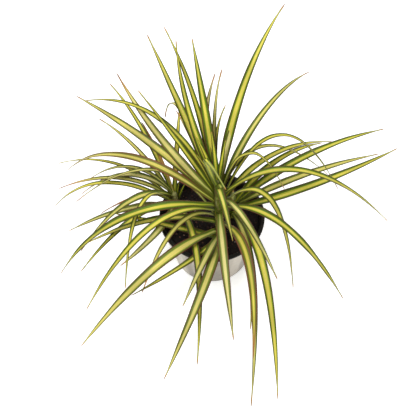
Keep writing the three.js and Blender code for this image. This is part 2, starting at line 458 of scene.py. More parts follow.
def leaf_finish():
    """The striped skin of all leaves."""
    material, tree, skin = new_material("Leaf")
    across, metres, share = split(tree, attribute(tree, "blade").outputs["Vector"])
    pale, blush, dry = split(tree, attribute(tree, "look").outputs["Vector"])
    seed, width, under = split(tree, attribute(tree, "trait").outputs["Vector"])

    lines = streak_mask(tree, across, metres, seed, 9.0, 0.09)
    threads = streak_mask(tree, across, metres, seed, 26.0, 0.05)
    side = maths(tree, "ABSOLUTE", across)
    # The band gives way to green near the stem; its edge wanders by the streaks.
    greening = between(tree, metres, 0.004, 0.055, 0.2, 0.0)
    wander = maths(tree, "MULTIPLY_ADD", lines, 0.20, -0.10)
    place = maths(tree, "ADD", side, wander)
    place = maths(tree, "ADD", place, greening)
    # Width moves the band's edge and leaves the margin where it is.
    inward = maths(tree, "MULTIPLY", width, between(tree, side, 0.6, 0.9, 1.0, 0.0))
    place = maths(tree, "SUBTRACT", place, inward, clamp=True)
    edge = between(tree, side, 0.82, 0.90)
    place = maths(tree, "MAXIMUM", place, maths(tree, "MULTIPLY", edge, 0.97))
    bands = ramp(tree, place, BANDS)

    # Pale leaves: a wash of cream over the band and, weaker, over the green.
    band_mask = between(tree, place, 0.28, 0.5, 1.0, 0.12)
    inner = between(tree, side, 0.78, 0.9, 1.0, 0.0)
    pale_mask = maths(tree, "MULTIPLY", maths(tree, "MULTIPLY", pale, band_mask), inner)
    colour = mixed(tree, pale_mask, bands, PALE)
    # Fine threads: darker lines through the band, lighter ones through the green.
    colour = layer(tree, colour, threads, 0.38, BASE_GREEN)
    glow = maths(tree, "MULTIPLY", between(tree, threads, 0.0, 0.45, 1.0, 0.0), 0.16)
    colour = mixed(tree, glow, colour, THREAD_LIGHT)
    colour = layer(tree, colour, edge, 0.85, BANDS[-1][1])
    # Blush: red that spreads inwards from the margins.
    spread = between(tree, maths(tree, "ADD", side, wander), 0.15, 0.95, 0.12, 1.0)
    colour = layer(tree, colour, blush, spread, BLUSH)
    # The foot of the blade goes green, partly its own colour and partly painted shade from the crown,
    # and the pale sheath lies below it.
    foot_green_and_shade = between(tree, metres, 0.0, 0.05, 0.45, 0.0)
    colour = mixed(tree, foot_green_and_shade, colour, BASE_GREEN)
    sheath_mask = between(tree, metres, -0.011, -0.002, 0.5, 0.0)
    colour = mixed(tree, sheath_mask, colour, SHEATH)
    # The underside is greyer.
    under_mask = maths(tree, "MULTIPLY", under, between(tree, metres, 0.0, 0.06, 0.05, 0.42))
    colour = mixed(tree, under_mask, colour, UNDER)
    # The tip dries from its end: dry is how far, as a share of the leaf.
    start = maths(tree, "SUBTRACT", 1.0, dry)
    dry_length = maths(tree, "MAXIMUM", dry, 0.01)
    reach = maths(tree, "DIVIDE", maths(tree, "SUBTRACT", share, start), dry_length)
    reach = maths(tree, "ADD", reach, maths(tree, "MULTIPLY_ADD", lines, 0.5, -0.25))
    tip_colour = ramp(tree, reach, TIP_STOPS)
    colour = mixed(tree, between(tree, reach, 0.0, 0.5), colour, tip_colour)
    # Each stretch of leaf is a little lighter or darker than the next.
    cloud = noise(tree, object_place(tree), 22.0, 2.0)
    level = between(tree, cloud, 0.3, 0.7, 0.84, 1.14)
    colour = add_node(
        tree, "ShaderNodeHueSaturation", {"Value": level, "Color": colour}
    ).outputs[0]

    gloss = between(tree, threads, 0.0, 1.0, 0.30, 0.46)
    gloss = maths(tree, "MULTIPLY_ADD", under, 0.22, gloss)
    paint(tree, skin, colour, gloss)
    skin.inputs["Specular IOR Level"].default_value = 0.16
    bump(tree, skin, threads, 0.35, 0.0004)
    return material


LEAF_FINISH = leaf_finish()
print("finish", LEAF_FINISH.name, len(LEAF_FINISH.node_tree.nodes), "nodes")

# %% [markdown]
# ## Reading a stem and a leaf from the frame
#
# A stem's axis is the line its points lie round. A leaf in the frame is a row of rings with
# four corners and one point at the tip. Walking out from the stem and taking the four nearest
# points each time gives the rings in order; continuity from the root says which corner is which.

# %% Stems and sections from the frame


def node_points(name):
    """The points of a CAD node, each one once."""
    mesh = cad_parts[name].data
    flat = np.zeros(len(mesh.vertices) * 3, np.float32)
    mesh.vertices.foreach_get("co", flat)
    return np.unique(flat.reshape(-1, 3).astype(float).round(6), axis=0)


def stem_axis(name):
    """A stem's foot, crown, direction and the radii at both ends, in metres."""
    points = node_points(name)
    middle = points.mean(0)
    direction = np.linalg.svd(points - middle)[2][0]
    direction *= np.sign(direction[2])
    along = (points - middle) @ direction
    off = np.linalg.norm(points - middle - along[:, None] * direction, axis=1)
    foot, crown = middle + along.min() * direction, middle + along.max() * direction
    return {
        "foot": foot,
        "crown": crown,
        "direction": direction,
        "length": along.max() - along.min(),
        "radii": (off[along < 0].max(), off[along > 0].max()),
    }


def leaf_sections(name, stem):
    """A leaf's sections from root to tip.

    Gives middles (n, 3), the directions to the left edge (n, 3), the directions to the upper
    side (n, 3) and the half widths (n). The last section is the tip, with no width.
    """
    points = node_points(name)
    along = np.clip((points - stem["foot"]) @ stem["direction"], 0, stem["length"])
    nearest_axis = stem["foot"] + along[:, None] * stem["direction"]
    here = points[np.argmin(np.linalg.norm(points - nearest_axis, axis=1))]
    rings = []
    while len(points) >= 4:
        nearest = np.argsort(np.linalg.norm(points - here, axis=1))[:4]
        rings.append(points[nearest])
        here = rings[-1].mean(0)
        points = np.delete(points, nearest, 0)
    tip = points[0]

    pairs = [(0, 1, 2, 3), (0, 2, 1, 3), (0, 3, 1, 2), (1, 2, 0, 3), (1, 3, 0, 2), (2, 3, 0, 1)]
    root = rings[0]
    i, j, k, m = max(pairs, key=lambda p: np.linalg.norm(root[p[0]] - root[p[1]]))
    left = unit(root[i] - root[j])
    up = (root[i] + root[j]) - (root[k] + root[m])
    middles, lefts, ups, halves = [], [], [], []
    for ring in rings:
        i, j, k, m = max(pairs, key=lambda p: abs((ring[p[0]] - ring[p[1]]) @ left))
        if (ring[i] - ring[j]) @ left < 0:
            i, j = j, i
        if (ring[k] - ring[m]) @ up < 0:
            k, m = m, k
        left, up = unit(ring[i] - ring[j]), unit(ring[k] - ring[m])
        middles.append((ring[k] + ring[m]) / 2)
        lefts.append(left)
        ups.append(up)
        halves.append(np.linalg.norm(ring[i] - ring[j]) / 2)
    return (
        np.array([*middles, tip]),
        np.array([*lefts, left]),
        np.array([*ups, up]),
        np.array([*halves, 0.0]),
    )


STEMS = {name: stem_axis(name) for name in ("stem_left", "stem_middle", "stem_right")}
for stem_name, axis in STEMS.items():
    print(stem_name, "length", round(axis["length"], 4), "radii", np.round(axis["radii"], 4))

# %% [markdown]
# ## The leaf's surface
#
# A leaf could be a flat strip with a Solidify modifier, but its section changes from a sheath
# round the stem to a channel and then to a point. So it is a grid: each row is a closed section
# of 24 points, thirteen over the top and eleven under it. The rows follow a smooth curve through
# the sections of the frame, and the first rows are carried from the sheath to the blade.

# %% Leaf surface
TOP_COLUMNS = 13
ROW_SPACING = 3.0 * MM
BLADE = {
    "channel": 0.34, "middle": 0.50 * MM, "edge": 0.16 * MM, "rib": 0.28 * MM, "fillet": 0.22,
    "rib_width": 0.16, "wider": 1.12, "tip": 0.85 * MM, "tip_length": 6 * MM,
    "thin_below": 1.6 * MM, "calm_below": 3 * MM,
}
ROW_CROWDING = 1.15
SHEATH_SHAPE = {"length": 11 * MM, "half_angle": 75, "wall": 0.5 * MM, "rows": 4}
# The join from sheath to blade: its length, its rows, and how long its two slopes are.
JOIN = {"length": 15 * MM, "rows": 5, "leave": 0.6, "arrive": 1.1}

# Where each column lies across the leaf, from -1 to 1 and back, and on which side it is.
top_across = np.sin(np.linspace(-math.pi / 2, math.pi / 2, TOP_COLUMNS))
ACROSS = np.concatenate([top_across, top_across[-2:0:-1]])
UPPER = np.concatenate([np.ones(TOP_COLUMNS), -np.ones(TOP_COLUMNS - 2)])
UPPER[[0, TOP_COLUMNS - 1]] = 0.0
COLUMNS = len(ACROSS)


def cubic(t, start, start_slope, end, end_slope):
    """The cubic from start at t = 0 to end at t = 1 that leaves and arrives on the slopes."""
    return (
        (2 * t**3 - 3 * t**2 + 1) * start
        + (t**3 - 2 * t**2 + t) * start_slope
        + (3 * t**2 - 2 * t**3) * end
        + (t**3 - t**2) * end_slope
    )


def through(keys, values, at):
    """A smooth curve through values, one for each key, read at new keys.

    Between two values it is the cubic whose slope at each one is that of the line between its
    two neighbours.
    """
    values = np.asarray(values, float)
    slope = np.gradient(values, keys, axis=0)
    i = np.clip(np.searchsorted(keys, at, side="right") - 1, 0, len(keys) - 2)
    step = keys[i + 1] - keys[i]
    t = (at - keys[i]) / step
    if values.ndim > 1:
        t, step = t[:, None], step[:, None]
    return cubic(t, values[i], slope[i] * step, values[i + 1], slope[i + 1] * step)


def blade_rows(middles, lefts, ups, halves, shape):
    """The rows of a blade.

    A point at q across lies at middle + left * half * q + up * (valley(q) * half ± thickness),
    where valley is a V with a rounded foot, thickness falls from the midrib to the edges, and
    the underside has a rib. The left and up directions turn by the leaf's own twist, and the
    edges rise and fall a little along it.
    """
    keys = np.concatenate([[0], np.cumsum(np.linalg.norm(np.diff(middles, axis=0), axis=1))])
    count = int(np.clip(keys[-1] / ROW_SPACING, 30, 90))
    # Rows lie closer together towards the tip, where the blade narrows.
    share = 1 - (1 - np.linspace(0, 1, count)) ** ROW_CROWDING
    at = share * keys[-1]
    spine = through(keys, middles, at)
    tangent = unit(np.gradient(spine, axis=0))
    left = through(keys, lefts, at)
    left = unit(left - np.sum(left * tangent, 1, keepdims=True) * tangent)
    up = np.cross(tangent, left)
    up *= np.sign(np.sum(up * through(keys, ups, at), 1, keepdims=True))
    # The blade is a little wider than its frame, and stays visible up to its point.
    point = BLADE["tip"] * np.sqrt(np.clip((keys[-1] - at) / BLADE["tip_length"], 0, 1))
    half = np.maximum(BLADE["wider"] * through(keys, halves, at), point)
    turn = (shape["twist"] * smoothstep(share, 0.1, 1.0))[:, None]
    left, up = left * np.cos(turn) + up * np.sin(turn), up * np.cos(turn) - left * np.sin(turn)

    q = ACROSS[None, :]
    e = BLADE["fillet"]
    valley = (np.sqrt(q**2 + e**2) - e) / (math.sqrt(1 + e**2) - e)
    thin = np.minimum(1, half / BLADE["thin_below"])[:, None]
    thick = thin * (BLADE["edge"] + (BLADE["middle"] - BLADE["edge"]) * (1 - q**2))
    rib = thin * BLADE["rib"] * np.exp(-((q / BLADE["rib_width"]) ** 2)) * (UPPER < 0)
    turns = at[:, None] * 2 * math.pi / shape["wave_length"]
    wave = shape["wave"] * np.sin(turns + shape["phase"] * q) * q**2
    lift = (
        BLADE["channel"] * shape["fold"] * half[:, None] * valley
        + UPPER * thick
        - rib
        + wave * np.minimum(1, half / BLADE["calm_below"])[:, None]
    )
    rows = (
        spine[:, None, :]
        + left[:, None, :] * (half[:, None] * q)[..., None]
        + up[:, None, :] * lift[..., None]
    )
    return rows, at, share, tangent


def sheath_rows(stem, root, left, heights):
    """Rows of a sheath round a stem.

    Heights are distances along the stem from the leaf's root. A point at q across lies at the
    angle q * half_angle round the stem from the leaf's side, at a radius that grows from the
    stem's skin to the leaf's root, and a wall further out for the outer, lower side.
    """
    direction = stem["direction"]
    along = (root - stem["foot"]) @ direction
    on_axis = stem["foot"] + along * direction
    out = unit(root - on_axis)
    side = np.cross(direction, out)
    side *= np.sign(side @ left)
    share = along / stem["length"]
    skin = stem["radii"][0] * (1 - share) + stem["radii"][1] * share
    gap = np.linalg.norm(root - on_axis) - skin
    opened = smoothstep(heights, -SHEATH_SHAPE["length"], 0)[:, None]
    angle = math.radians(SHEATH_SHAPE["half_angle"]) * ACROSS[None, :] * (1 - 0.25 * opened)
    wall = SHEATH_SHAPE["wall"] * (1 - 0.75 * ACROSS**2) / 2
    radius = skin + gap * (0.25 + 0.6 * opened) - UPPER * wall
    return (
        on_axis
        + direction * heights[:, None, None]
        + out * (radius * np.cos(angle))[..., None]
        + side * (radius * np.sin(angle))[..., None]
    )


def leaf_skin(rows, tip):
    """Closes a leaf's rows: strips across the first row, and a fan to the tip."""
    count = len(rows) * COLUMNS
    points = np.vstack([rows.reshape(-1, 3), tip])
    inner = np.arange(1, TOP_COLUMNS - 1)
    lower = COLUMNS - inner
    strips = np.stack([inner[1:], inner[:-1], lower[:-1], lower[1:]], -1)
    ends = np.array([[inner[0], 0, lower[0]], [TOP_COLUMNS - 1, inner[-1], lower[-1]]])
    last = np.arange(count - COLUMNS, count)
    return points, [tube_faces(len(rows), COLUMNS), strips, ends, fan_faces(last, count)]


def leaf_values(along, share, look, trait):
    """The three vectors that the leaf's finish reads, for every point and the tip."""
    rows = len(along)
    blade = np.tile(ACROSS, rows), np.repeat(along, COLUMNS), np.repeat(share, COLUMNS)
    blade = np.vstack([np.column_stack(blade), [0, along[-1], 1]])
    under = np.append(np.tile((UPPER < 0).astype(float), rows), 0.5)
    looks = np.tile(look, (len(blade), 1))
    traits = np.column_stack([np.tile(trait, (len(blade), 1)), under])
    return {"blade": blade, "look": looks, "trait": traits}


print("columns", COLUMNS, "row spacing", ROW_SPACING)

# %% [markdown]
# ## All the leaves
#
# Most leaves are alike: sound, with a dry point a few millimetres long. The ones that differ,
# because they are old, pale, flushed with red or dried at the end, are listed by stem and number
# with three values: how pale, how red, and which share of the leaf has dried.

# %% All leaves
SOUND = (0.10, 0.04, 0.05)
LOOKS = {
    "middle": {
        2: (0.15, 0.15, 0.06), 3: (0.45, 0.12, 0.05), 4: (0.55, 0.05, 0.05),
        5: (0.35, 0.10, 0.04), 6: (0.20, 0.05, 0.08), 7: (0.10, 0.35, 0.22),
        8: (0.55, 0.05, 0.12), 9: (0.30, 0.15, 0.30), 10: (0.75, 0.10, 0.06),
        16: (0.30, 0.40, 0.06), 18: (0.55, 0.05, 0.12), 20: (0.35, 0.10, 0.06),
        21: (0.60, 0.15, 0.20), 22: (0.60, 0.05, 0.06), 23: (0.85, 0.25, 0.12),
        27: (0.40, 0.05, 0.12), 29: (0.15, 0.02, 0.10), 30: (0.25, 0.04, 0.04),
        31: (0.20, 0.05, 0.05), 35: (0.10, 0.02, 0.06),
    },
    "left": {
        1: (0.60, 0.10, 0.05), 2: (0.70, 0.10, 0.15), 8: (0.45, 0.15, 0.35),
        9: (0.45, 0.10, 0.10),
    },
    "right": {2: (0.45, 0.06, 0.08), 5: (0.40, 0.08, 0.05), 7: (0.05, 0.02, 0.05)},
}
random_leaf = np.random.default_rng(7)


def finish_leaf(name, rows, tip, along, share, look, node=None):
    """A leaf's rows as a piece, with a seed and a band width of its own."""
    points, faces = leaf_skin(rows, tip)
    trait = (random_leaf.uniform(), random_leaf.uniform(-0.05, 0.12))
    values = leaf_values(along, share, look, trait)
    return add_piece(name, points, faces, LEAF_FINISH, node, values)


def build_leaf(node):
    """One leaf of the frame as a fine striped blade with its sheath."""
    side, number = node.split("_")[1:]
    stem = STEMS[f"stem_{side}"]
    middles, lefts, ups, halves = leaf_sections(node, stem)
    shape = {
        "twist": random_leaf.uniform(-0.22, 0.22),
        "wave": random_leaf.uniform(0.1, 0.45) * MM,
        "wave_length": random_leaf.uniform(45, 80) * MM,
        "phase": random_leaf.uniform(0.5, 2.5),
        "fold": random_leaf.uniform(0.85, 1.35),
    }
    rows, along, share, tangent = blade_rows(middles, lefts, ups, halves, shape)
    # The blade proper starts where the sheath has become a channel.
    start = np.searchsorted(along, JOIN["length"])
    heights = np.linspace(-SHEATH_SHAPE["length"], 0, SHEATH_SHAPE["rows"])
    sheath = sheath_rows(stem, middles[0], lefts[0], heights)
    leave = stem["direction"] * JOIN["leave"] * JOIN["length"]
    arrive = tangent[start] * JOIN["arrive"] * JOIN["length"]
    t = np.linspace(0, 1, JOIN["rows"] + 2)[1:-1]
    join = cubic(t[:, None, None], sheath[-1], leave, rows[start], arrive)
    rows = np.concatenate([sheath, join, rows[start:-1]])
    every = np.concatenate([heights, t * along[start], along[start:-1]])
    share = np.clip(every / along[-1], 0, 1)
    look = LOOKS[side].get(int(number), SOUND)
    name = node.replace("leaf", "blade")
    piece = finish_leaf(name, rows, middles[-1], every, share, look, node)
    return len(piece.data.polygons)


leaf_nodes = sorted(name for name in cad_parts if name.startswith("leaf_"))
face_count = sum(build_leaf(name) for name in leaf_nodes)
print(len(leaf_nodes), "leaves", face_count, "faces")

# %% [markdown]
# ## Small, bent and broken leaves
#
# Between the sound leaves stand young ones, a few that have folded over, and dry ends. They are
# too small for the frame, and carry nothing, so they are made here, and each grows out of a stem
# of the frame. A leaf is set by the height where it leaves the stem, its heading from +X towards
# +Y, its reach, the height of its tip, how far it arches, and where the arch peaks: a peak near
# the tip looks like a leaf that has folded over.

# %% Small leaves
DRY_LOOK = (0.5, 0.7, 1.0)
GREEN_LOOK = (0.0, 0.0, 0.05)
CREAM_LOOK = (0.7, 0.05, 0.15)
MIXED_LOOK = (0.4, 0.05, 0.15)
# name: stem, height, heading, reach, tip height, rise, peak, width, look
SMALL_LEAVES = {
    "folded_leaf": ("middle", 150, 125, 110, 195, 65, 0.8, 5.5, MIXED_LOOK),
    "young_leaf_back": ("middle", 150, 120, 100, 215, 12, 0.5, 6, CREAM_LOOK),
    "bent_leaf": ("middle", 160, 105, 90, 285, 25, 0.4, 5, MIXED_LOOK),
    "thin_leaf_back": ("middle", 160, 75, 75, 250, 20, 0.4, 5, MIXED_LOOK),
    "broad_leaf_back": ("middle", 162, 70, 65, 250, 18, 0.4, 8, CREAM_LOOK),
    "dry_leaf_left": ("left", 100, 185, 95, 75, 20, 0.4, 5, DRY_LOOK),
    "dry_leaf_top": ("left", 108, 120, 80, 165, 15, 0.4, 4, DRY_LOOK),
    "pale_leaf_left": ("left", 105, 175, 120, 90, 45, 0.4, 8.5, CREAM_LOOK),
    "pale_leaf_far_left": ("left", 107, 170, 110, 110, 45, 0.4, 6, MIXED_LOOK),
    "broad_leaf_left": ("left", 103, 205, 130, 60, 45, 0.4, 10, MIXED_LOOK),
    "short_leaf_front": ("middle", 92, 195, 30, 98, 10, 0.4, 6, GREEN_LOOK),
    "short_leaf_low": ("middle", 88, 200, 16, 84, 8, 0.4, 4, GREEN_LOOK),
    "short_leaf_right": ("right", 90, 5, 45, 84, 8, 0.4, 5, GREEN_LOOK),
    "young_leaf_left_a": ("left", 80, 75, 18, 110, 4, 0.4, 5, GREEN_LOOK),
    "young_leaf_left_b": ("left", 80, 55, 22, 106, 4, 0.4, 4.5, GREEN_LOOK),
    "core_leaf_a": ("right", 100, 270, 12, 152, 3, 0.4, 8, CREAM_LOOK),
    "core_leaf_b": ("right", 98, 240, 18, 146, 3, 0.4, 7, CREAM_LOOK),
    "crown_leaf_front": ("middle", 176, 300, 22, 140, 22, 0.4, 8, MIXED_LOOK),
    "spear_left": ("middle", 172, 135, 35, 240, 8, 0.4, 7, GREEN_LOOK),
    "spear_middle": ("middle", 172, 105, 28, 246, 8, 0.4, 7, GREEN_LOOK),
    "spear_right": ("middle", 170, 70, 25, 236, 6, 0.4, 6, GREEN_LOOK),
    "spear_front": ("middle", 168, 165, 25, 232, 6, 0.4, 6, GREEN_LOOK),
}
SMALL_STATIONS = 9


def small_leaf(name, stem, height, heading, reach, tip_height, rise, peak, width, look):
    """A leaf that grows from a stem's axis along a quadratic curve.

    The curve runs from the root to the tip, and its control point lies at the peak's share of
    the straight line between them, raised by twice the rise. The blade is narrow at its foot,
    widest at two fifths, and pointed at the end.
    """
    axis = STEMS[f"stem_{stem}"]
    along = (height * MM - axis["foot"][2]) / axis["direction"][2]
    root = axis["foot"] + along * axis["direction"]
    angle = math.radians(heading)
    tip = root + reach * MM * np.array([math.cos(angle), math.sin(angle), 0])
    tip[2] = tip_height * MM
    control = root + peak * (tip - root) + np.array([0, 0, 2 * rise * MM])
    share = np.linspace(0, 1, SMALL_STATIONS)
    t = share[:, None]
    middles = (1 - t) ** 2 * root + 2 * t * (1 - t) * control + t**2 * tip
    side = np.array([-math.sin(angle), math.cos(angle), 0])
    lefts = np.tile(side, (SMALL_STATIONS, 1))
    ups = np.cross(unit(np.gradient(middles, axis=0)), lefts)
    halves = width / 2 * MM * (0.55 + 0.45 * smoothstep(share, 0, 0.4)) * (1 - share**2.5)
    shape = {"twist": 0.15, "wave": 0.1 * MM, "wave_length": 40 * MM, "phase": 1.0, "fold": 1.1}
    rows, along, share, _ = blade_rows(middles, lefts, ups, halves, shape)
    finish_leaf(name, rows[:-1], middles[-1], along[:-1], share[:-1], look)


for small_name, design in SMALL_LEAVES.items():
    small_leaf(small_name, *design)
print(len(SMALL_LEAVES), "small leaves")

# %% [markdown]
# ## Stems
#
# A dracaena's stem is a cane ringed by the scars of the leaves it has dropped. The surface is a
# tube whose radius steps at each scar, under a bark of tan and brown streaks.

# %% Stem finish and surface
CANE = {
    "row": 0.55 * MM, "end": 3 * MM, "scar_spacing": 3.4 * MM, "scar": 0.12,
    "thin": 0.92, "swell": 0.1, "lumps": 0.025, "lump_turns": 1000.0,
}


def stem_finish():
    """Tan bark with darker scars and rising streaks."""
    material, tree, skin = new_material("Cane")
    round_stem, metres, scar = split(tree, attribute(tree, "cane").outputs["Vector"])
    streaks = streak_mask(tree, round_stem, metres, 0.3, 9.0, 0.012)
    specks = speck_mask(tree, object_place(tree), 900.0, 0.2)
    colour = mixed(tree, streaks, (0.20, 0.13, 0.05), (0.32, 0.25, 0.10))
    colour = layer(tree, colour, scar, 0.75, (0.07, 0.03, 0.015))
    colour = layer(tree, colour, specks, 0.6, (0.09, 0.05, 0.03))
    green = between(tree, metres, 0.03, 0.08, 0.0, 0.7)
    colour = mixed(tree, green, colour, (0.22, 0.26, 0.07))
    paint(tree, skin, colour, between(tree, streaks, 0.0, 1.0, 0.6, 0.85))
    bump(tree, skin, streaks, 0.4, 0.0004)
    return material


CANE_FINISH = stem_finish()


def build_stem(node, sides=28):
    """A ringed cane.

    The radius runs from foot to crown in a straight line; within each scar spacing it swells by
    a tenth and drops back, and both ends are rounded off over a few millimetres.
    """
    stem = STEMS[node]
    along = np.linspace(0, stem["length"], int(stem["length"] / CANE["row"]))
    share = along / stem["length"]
    phase = (along / CANE["scar_spacing"]) % 1
    close = np.minimum(1, np.minimum(along, stem["length"] - along) / CANE["end"])
    close = np.sqrt(np.clip(1 - (1 - close) ** 2, 0, 1))
    radius = stem["radii"][0] * (1 - share) + stem["radii"][1] * share
    radius = radius * (CANE["thin"] + CANE["swell"] * phase**3) * close
    angle = np.linspace(0, 2 * math.pi, sides, endpoint=False)
    lumps = 1 + CANE["lumps"] * np.sin(3 * angle + CANE["lump_turns"] * along[:, None])
    side = unit(np.cross(stem["direction"], [1.0, 0, 0]))
    other = np.cross(stem["direction"], side)
    ring = side * np.cos(angle)[:, None] + other * np.sin(angle)[:, None]
    grid = (
        stem["foot"]
        + stem["direction"] * along[:, None, None]
        + ring[None] * (radius[:, None] * lumps)[..., None]
    )[1:-1]
    points = np.vstack([grid.reshape(-1, 3), stem["foot"], stem["crown"]])
    scar = np.exp(-((np.minimum(phase, 1 - phase) / CANE["scar"]) ** 2))[1:-1]
    values = np.column_stack(
        [
            np.append(np.tile(np.sin(angle) * 1.5, len(grid)), [0, 0]),
            np.append(np.repeat(along[1:-1], sides), [0, stem["length"]]),
            np.append(np.repeat(scar, sides), [0, 0]),
        ]
    )
    name, faces = node.replace("stem", "cane"), closed_tube(len(grid), sides)
    add_piece(name, points, faces, CANE_FINISH, node, {"cane": values})


for stem_name in STEMS:
    build_stem(stem_name)
print("stems", list(STEMS))

# %% [markdown]
# ## The outer pot
#
# The outer pot is thin sheet metal spun to a taper, with a folded edge and a satin finish left by
# an abrasive belt that ran round it. A finely divided turned wall keeps its outline round. The
# brushing is streaks that run round the wall, in the colour, the roughness and the relief. Broad
# dark upright bands on the wall are painted reflection, and the darkened foot is painted shade.

# %% Outer pot
WALL = 1.6 * MM
POT_SIDES = 192
LONGEST_STRETCH = 5 * MM
BEAD_SHARE = 0.955


def place_round(tree):
    """A point's place in its object, its angle round Z in radians, and its height."""
    where = object_place(tree)
    x, y, z = split(tree, where)
    return where, maths(tree, "ARCTAN2", y, x), z


def brushed_finish():
    """Satin metal brushed round the pot, with faint smudges, dark upright bands of painted
    reflection, and painted shade at its foot.
    """
    material, tree, skin = new_material("Brushed metal")
    where, angle, height = place_round(tree)
    lines = streak_mask(tree, height, angle, 0.1, 1400.0, 0.35)
    # Broad upright stripes round the wall, used below for painted reflection.
    bands = between(tree, streak_mask(tree, angle, height, 0.7, 1.7, 0.6), 0.25, 0.75)
    smudge = noise(tree, where, 28.0, 4.0)
    specks = speck_mask(tree, where, 320.0, 0.05)
    colour = mixed(tree, lines, (0.40, 0.36, 0.30), (0.56, 0.51, 0.43))
    # Painted reflection: the stripes darken the wall in broad upright bands.
    colour = layer(tree, colour, bands, 0.62, (0.10, 0.085, 0.068))
    stain = between(tree, smudge, 0.5, 0.75, 0.0, 0.35)
    colour = mixed(tree, stain, colour, (0.46, 0.39, 0.31))
    # Painted shade: the lowest few millimetres of the wall darken where the pot meets the floor.
    foot = between(tree, height, 0.0005, 0.004, 0.7, 0.0)
    colour = mixed(tree, foot, colour, (0.10, 0.09, 0.08))
    colour = layer(tree, colour, specks, 0.3, (0.22, 0.20, 0.17))
    skin.inputs["Metallic"].default_value = 0.75
    rough = between(tree, lines, 0.0, 1.0, 0.30, 0.42)
    rough = maths(tree, "MULTIPLY_ADD", smudge, 0.12, rough)
    paint(tree, skin, colour, rough)
    bump(tree, skin, lines, 0.25, 0.0002)
    return material


pot_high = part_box("outer_pot")[1]
rim_radius, pot_top = pot_high.x, pot_high.z
pot_inner = node_points("outer_pot")
foot_radius = np.hypot(*pot_inner[pot_inner[:, 2] < 2 * MM][:, :2].T).max()
edge = WALL / 2
outer_profile = rounded(
    [
        (0, 0.4 * MM, 0),
        (foot_radius - 4 * MM, 0.4 * MM, 0.3 * MM),
        (foot_radius - 3 * MM, 0, 0.3 * MM),
        (foot_radius, 0, 1.2 * MM),
        (foot_radius + BEAD_SHARE * (rim_radius - foot_radius), BEAD_SHARE * pot_top, 0.5 * MM),
        (rim_radius, pot_top, edge * 0.9),
        (rim_radius - WALL, pot_top, edge * 0.9),
        (foot_radius - WALL, 2 * MM, 1.0 * MM),
        (0, 2 * MM, 0),
    ]
)
# Long straight stretches get rows of their own, so that the faces stay near square.
dense = [outer_profile[0]]
for start, end in zip(outer_profile, outer_profile[1:]):
    pieces = max(1, int(np.linalg.norm(end - start) / LONGEST_STRETCH))
    dense += [start + (end - start) * k / pieces for k in range(1, pieces + 1)]
pot_points, pot_faces = revolve(dense, POT_SIDES)
add_piece("metal_pot", pot_points, pot_faces, brushed_finish(), "outer_pot")
print("outer pot", round(rim_radius, 4), round(foot_radius, 4), len(pot_points), "points")

# %% [markdown]
# ## The nursery pot
#
# The plant grows in a thin black plastic pot that hangs in the outer one by its rolled lip. It is
# turned in the same way. Its drain holes are real: a Boolean takes eight pins out of its floor.

# %% Nursery pot
LINER_WALL = 1.3 * MM
DRAINS = {"count": 8, "radius": 4 * MM, "circle": 28 * MM, "sides": 20}


def plastic_finish():
    """Black moulded plastic, faintly pebbled, with dust and dried soil on it."""
    material, tree, skin = new_material("Black plastic")
    where, angle, height = place_round(tree)
    scuffs = streak_mask(tree, height, angle, 0.5, 500.0, 0.3)
    dust = speck_mask(tree, where, 420.0, 0.12)
    colour = mixed(tree, scuffs, (0.004, 0.004, 0.004), (0.014, 0.012, 0.010))
    colour = layer(tree, colour, dust, 0.6, (0.10, 0.07, 0.05))
    paint(tree, skin, colour, between(tree, scuffs, 0.0, 1.0, 0.38, 0.55))
    skin.inputs["Specular IOR Level"].default_value = 0.15
    bump(tree, skin, noise(tree, where, 900.0, 2.0), 0.2, 0.0002)
    return material


liner_low, liner_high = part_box("nursery_pot")
liner_points = node_points("nursery_pot")
lip_radius, lip_top, liner_bottom = liner_high.x, liner_high.z, liner_low.z
levels = np.unique(liner_points[:, 2].round(5))
reach_at = {}
for z in levels:
    level_points = liner_points[np.abs(liner_points[:, 2] - z) < 1e-5]
    reach_at[z] = np.hypot(level_points[:, 0], level_points[:, 1])
bottom_radius = reach_at[levels[0]].max()
hang = min(z for z in levels if reach_at[z].max() > lip_radius - 1.5 * MM)
print("nursery pot: bottom radius", round(bottom_radius, 4), "lip from", hang)
body_radius = min(reach_at[hang].min(), rim_radius - WALL - 1 * MM)
mouth = liner_points[liner_points[:, 2] > lip_top - 1.5 * MM]
mouth_radius = np.hypot(mouth[:, 0], mouth[:, 1]).min()
liner_profile = rounded(
    [
        (0, liner_bottom, 0),
        (bottom_radius, liner_bottom, 1.2 * MM),
        (body_radius, hang, 0.3 * MM),
        (lip_radius, hang, 0.8 * MM),
        (lip_radius, lip_top, 1.6 * MM),
        (mouth_radius, lip_top, 1.4 * MM),
        (body_radius - LINER_WALL, hang - 2 * MM, 1.2 * MM),
        (bottom_radius - LINER_WALL, liner_bottom + LINER_WALL, 1 * MM),
        (0, liner_bottom + LINER_WALL, 0),
    ],
    6,
)
liner_skin, liner_faces = revolve(liner_profile, POT_SIDES)
PLASTIC = plastic_finish()
liner = add_piece("plastic_pot", liner_skin, liner_faces, PLASTIC, "nursery_pot")


def pins(low, high):
    """Upright pins, one for each drain hole: each is two rings of points, closed at both ends."""
    sides = DRAINS["sides"]
    turn = np.linspace(0, 2 * math.pi, sides, endpoint=False)
    points, faces = [], []
    for k in range(DRAINS["count"]):
        around = 2 * math.pi * k / DRAINS["count"]
        x = DRAINS["circle"] * math.cos(around) + DRAINS["radius"] * np.cos(turn)
        y = DRAINS["circle"] * math.sin(around) + DRAINS["radius"] * np.sin(turn)
        points += [(*place, z) for z in (low, high) for place in zip(x, y)]
        lower = np.arange(sides) + 2 * sides * k
        upper = lower + sides
        wall = np.stack([lower, np.roll(lower, -1), np.roll(upper, -1), upper], -1)
        faces += [lower[::-1].tolist(), upper.tolist(), *wall.tolist()]
    return points, faces


